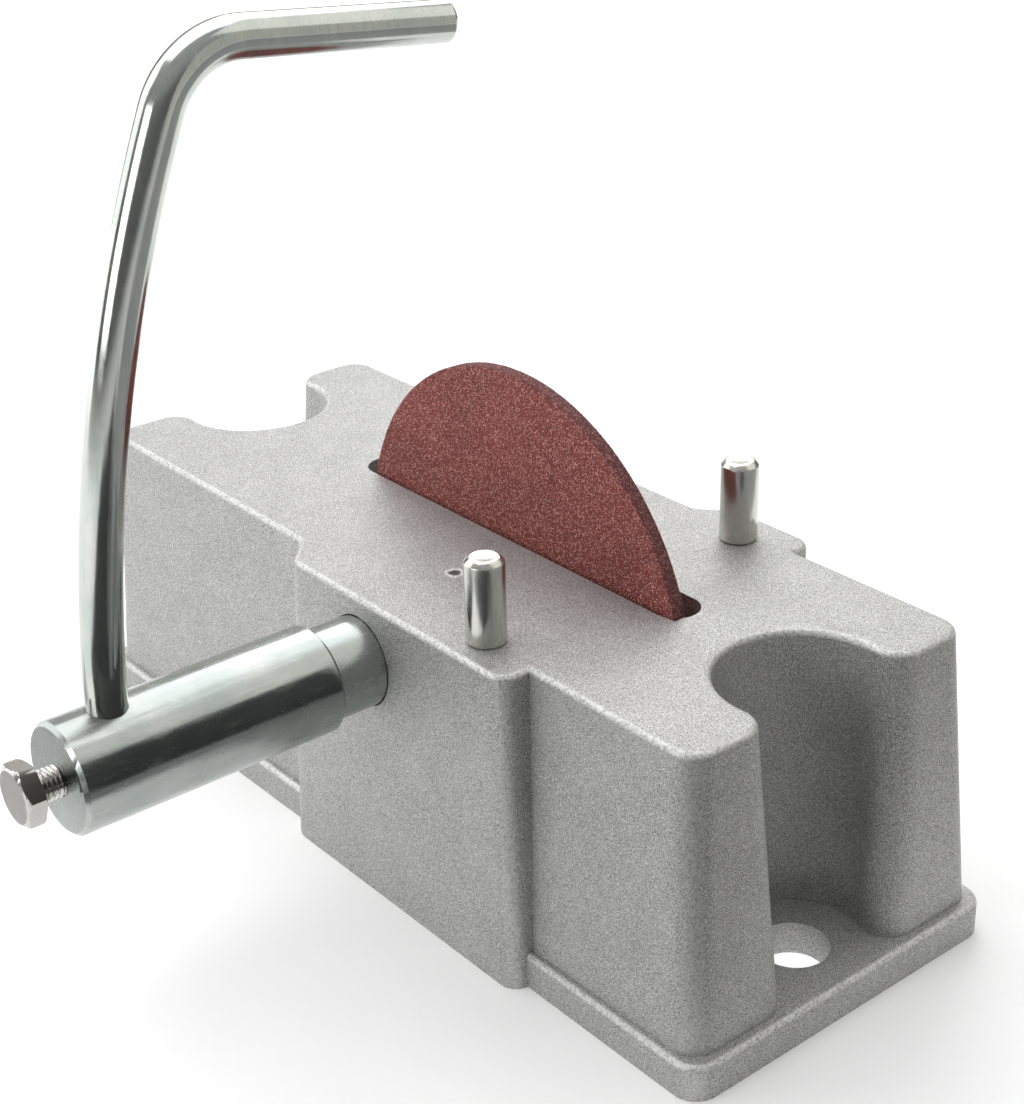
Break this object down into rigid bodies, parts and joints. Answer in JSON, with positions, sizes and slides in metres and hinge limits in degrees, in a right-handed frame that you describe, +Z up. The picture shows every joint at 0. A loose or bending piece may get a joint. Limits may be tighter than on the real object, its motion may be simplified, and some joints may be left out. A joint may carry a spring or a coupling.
{
  "type": "skate sharpener",
  "caption": "Hand-cranked skate sharpener: open-bottomed cast housing, abrasive wheel standing up through a slot, guide pins, and a bent crank rod clamped in the spindle's hub.",
  "frame": {"origin": "the middle of the two bench bolt holes, at the housing's underside", "axes": "+X along the housing towards the guide pins' end, +Z up, the crank side faces -Y"},
  "size_m": [0.2126, 0.1647, 0.184],
  "materials": {
    "cast_body": "blasted as-cast",
    "bronze": "machined",
    "plated_steel": "turned, bright zinc plated",
    "rod_steel": "drawn, bright zinc plated",
    "bolt_steel": "bright nickel plated",
    "pin_steel": "ground",
    "turned_steel": "machined",
    "spring_steel": "oiled black",
    "abrasive": "bonded grit, matte",
    "blotter_paper": "matte"
  },
  "bodies": {
    "housing": {"body_casting": "cast_body", "front_bush": "bronze", "inner_bush": "bronze", "front_guide_pin": "pin_steel", "back_guide_pin": "pin_steel"},
    "spindle_group": {"spindle": "plated_steel", "thrust_washer": "bronze", "retaining_ring": "spring_steel", "inner_flange": "turned_steel", "inner_blotter": "blotter_paper", "abrasive_wheel": "abrasive", "outer_blotter": "blotter_paper", "outer_flange": "turned_steel", "lock_washer": "spring_steel", "wheel_screw": "bolt_steel", "crank_hub": "plated_steel"},
    "rod": {"crank_rod": "rod_steel"},
    "bolt": {"clamp_bolt": "bolt_steel"}
  },
  "joints": [
    {"name": "crank_spin", "type": "hinge", "parent": "housing", "child": "spindle_group", "pos_m": [0.0115, -0.09885, 0.054], "axis": [0, 1, 0], "continuous": true},
    {"name": "rod_swivel", "type": "hinge", "parent": "spindle_group", "child": "rod", "pos_m": [0.0115, -0.09885, 0.054], "axis": [0, 0, 1], "range_deg": [0, 180]},
    {"name": "clamp_bolt_turn", "type": "hinge", "parent": "spindle_group", "child": "bolt", "pos_m": [0.0115, -0.115, 0.054], "axis": [0, -1, 0], "range_deg": [0, 360]}
  ]
}
